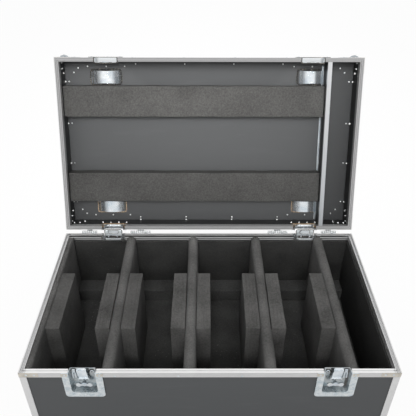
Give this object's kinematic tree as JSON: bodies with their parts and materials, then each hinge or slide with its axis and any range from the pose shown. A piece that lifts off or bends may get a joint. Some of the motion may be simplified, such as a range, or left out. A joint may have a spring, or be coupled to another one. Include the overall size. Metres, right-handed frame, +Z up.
{
  "type": "lighting flight case",
  "caption": "Open flight case on castors: ply box in aluminium edges, foam dividers and blocks for lamp fixtures, hinged lid with castor wells, butterfly latches and sprung side handles.",
  "frame": {"origin": "on the floor, under the middle of the open case's bounding box", "axes": "+X to the user's right along the case's length, +Y to the back where the lid is hinged, +Z up"},
  "size_m": [1.2216, 1.0845, 1.1177],
  "materials": {
    "laminate": "matte",
    "aluminium": "satin",
    "zinc": "satin",
    "foam": "matte",
    "rubber": "matte"
  },
  "bodies": {
    "base": {"base_shell": "laminate", "base_rim_profile": "aluminium", "base_rim_front": "aluminium", "base_edge_frame": "aluminium", "base_lining": "foam", "lining_front": "foam", "left_wall_board": "foam", "floor_strip_rear": "foam", "divider_1": "foam", "divider_2": "foam", "divider_3": "foam", "divider_4": "foam", "foam_block_1": "foam", "foam_block_2": "foam", "foam_block_3": "foam", "foam_block_4": "foam", "foam_block_5": "foam", "foam_block_6": "foam", "foam_block_7": "foam", "foam_block_8": "foam", "castor_plate_front_left": "zinc", "castor_plate_front_right": "zinc", "castor_plate_rear_left": "zinc", "castor_plate_rear_right": "zinc", "latch_dish_left": "zinc", "latch_dish_right": "zinc", "handle_dish_left": "zinc", "handle_dish_right": "zinc", "stay_hinge_base_left": "zinc", "stay_hinge_base_right": "zinc"},
    "lid": {"lid_shell": "laminate", "lid_rim_profile": "aluminium", "lid_rim_front": "aluminium", "lid_edge_frame": "aluminium", "catch_dish_left": "zinc", "catch_dish_right": "zinc", "castor_dish_front_left": "zinc", "castor_dish_front_right": "zinc", "castor_dish_rear_left": "zinc", "castor_dish_rear_right": "zinc", "foam_bar_front": "foam", "foam_bar_rear": "foam", "lid_divider": "laminate", "lid_divider_cap": "aluminium", "stay_hinge_lid_left": "zinc", "stay_hinge_lid_right": "zinc"},
    "fork_front_left": {"castor_fork_front_left": "zinc"},
    "fork_front_right": {"castor_fork_front_right": "zinc"},
    "fork_rear_left": {"castor_fork_rear_left": "zinc"},
    "fork_rear_right": {"castor_fork_rear_right": "zinc"},
    "wheel_front_left": {"castor_wheel_front_left": "rubber"},
    "wheel_front_right": {"castor_wheel_front_right": "rubber"},
    "wheel_rear_left": {"castor_wheel_rear_left": "rubber"},
    "wheel_rear_right": {"castor_wheel_rear_right": "rubber"},
    "butterfly_left": {"latch_handle_left": "zinc"},
    "butterfly_right": {"latch_handle_right": "zinc"},
    "hook_left": {"latch_hook_left": "zinc"},
    "hook_right": {"latch_hook_right": "zinc"},
    "bail_left": {"handle_bail_left": "rubber"},
    "bail_right": {"handle_bail_right": "rubber"}
  },
  "joints": [
    {"name": "lid_hinge", "type": "hinge", "parent": "base", "child": "lid", "pos_m": [0, 0.17639, 0.4531], "axis": [1, 0, 0], "range_deg": [0, 110.3]},
    {"name": "swivel_front_left", "type": "hinge", "parent": "base", "child": "fork_front_left", "pos_m": [-0.457, -0.45411, 0.1187], "axis": [0, 0, 1], "continuous": true},
    {"name": "swivel_front_right", "type": "hinge", "parent": "base", "child": "fork_front_right", "pos_m": [0.457, -0.45411, 0.1187], "axis": [0, 0, 1], "continuous": true},
    {"name": "swivel_rear_left", "type": "hinge", "parent": "base", "child": "fork_rear_left", "pos_m": [-0.457, 0.08989, 0.1187], "axis": [0, 0, 1], "continuous": true},
    {"name": "swivel_rear_right", "type": "hinge", "parent": "base", "child": "fork_rear_right", "pos_m": [0.457, 0.08989, 0.1187], "axis": [0, 0, 1], "continuous": true},
    {"name": "roll_front_left", "type": "hinge", "parent": "fork_front_left", "child": "wheel_front_left", "pos_m": [-0.422, -0.45411, 0.05], "axis": [0, 1, 0], "continuous": true},
    {"name": "roll_front_right", "type": "hinge", "parent": "fork_front_right", "child": "wheel_front_right", "pos_m": [0.422, -0.45411, 0.05], "axis": [0, 1, 0], "continuous": true},
    {"name": "roll_rear_left", "type": "hinge", "parent": "fork_rear_left", "child": "wheel_rear_left", "pos_m": [-0.422, 0.08989, 0.05], "axis": [0, 1, 0], "continuous": true},
    {"name": "roll_rear_right", "type": "hinge", "parent": "fork_rear_right", "child": "wheel_rear_right", "pos_m": [0.422, 0.08989, 0.05], "axis": [0, 1, 0], "continuous": true},
    {"name": "latch_turn_left", "type": "hinge", "parent": "base", "child": "butterfly_left", "pos_m": [-0.402, -0.53061, 0.3886], "axis": [0, 1, 0], "range_deg": [0, 180]},
    {"name": "latch_turn_right", "type": "hinge", "parent": "base", "child": "butterfly_right", "pos_m": [0.402, -0.53061, 0.3886], "axis": [0, 1, 0], "range_deg": [0, 180]},
    {"name": "hook_swing_left", "type": "hinge", "parent": "base", "child": "hook_left", "pos_m": [-0.402, -0.51861, 0.4126], "axis": [-1, 0, 0], "range_deg": [0, 12]},
    {"name": "hook_swing_right", "type": "hinge", "parent": "base", "child": "hook_right", "pos_m": [0.402, -0.51861, 0.4126], "axis": [-1, 0, 0], "range_deg": [0, 12]},
    {"name": "handle_lift_left", "type": "hinge", "parent": "base", "child": "bail_left", "pos_m": [-0.59325, -0.18211, 0.3306], "axis": [0, 1, 0], "range_deg": [0, 90], "stiffness_Nm_per_rad": 0.15},
    {"name": "handle_lift_right", "type": "hinge", "parent": "base", "child": "bail_right", "pos_m": [0.59325, -0.18211, 0.3306], "axis": [0, -1, 0], "range_deg": [0, 90], "stiffness_Nm_per_rad": 0.15}
  ],
  "couplings": [
    {"joint": "hook_swing_left", "follows": "latch_turn_left", "ratio": 0.06666},
    {"joint": "hook_swing_right", "follows": "latch_turn_right", "ratio": 0.06666}
  ]
}
